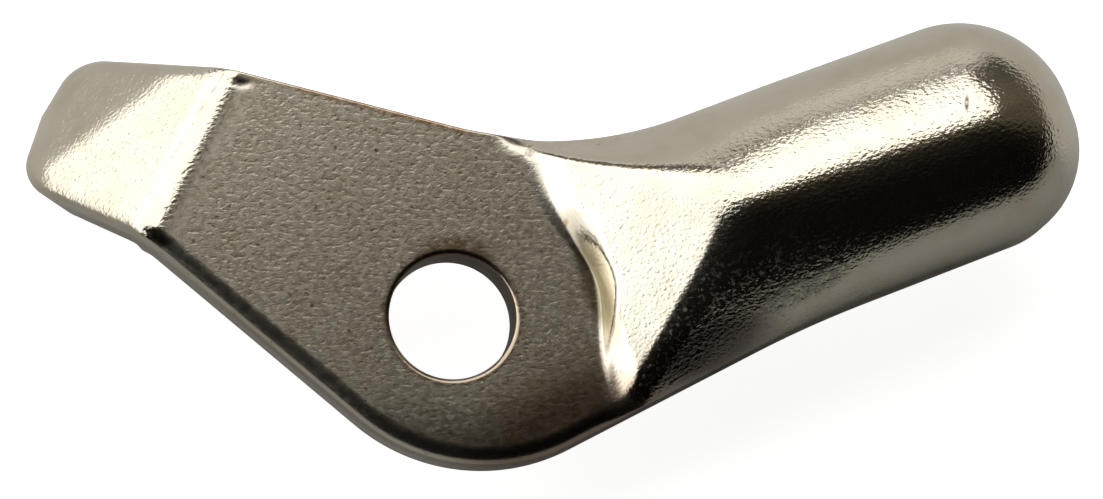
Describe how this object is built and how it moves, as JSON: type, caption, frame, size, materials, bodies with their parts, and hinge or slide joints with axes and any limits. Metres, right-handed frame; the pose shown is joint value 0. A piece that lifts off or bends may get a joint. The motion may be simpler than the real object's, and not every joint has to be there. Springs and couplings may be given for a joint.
{
  "type": "cleat horn",
  "caption": "Pressed and plated sheet-steel horn lever with a bolt hole, a hollow domed horn and a bent-down tab on an angled arm.",
  "frame": {"origin": "middle of the footprint of the part's box, at the height of its lowest point, which is the tab's end", "axes": "+X along the horn from the bolt hole to the horn's tip, +Z out of the seat's upper face along the bolt, +Y towards the arm's side"},
  "size_m": [0.0522, 0.0282, 0.0149],
  "materials": {
    "nickel_plate": "warm nickel plate over pressed steel, semi-bright, with orange peel on the stretched horn and tab"
  },
  "bodies": {
    "root": {"cleat_horn": "nickel_plate"}
  },
  "joints": []
}
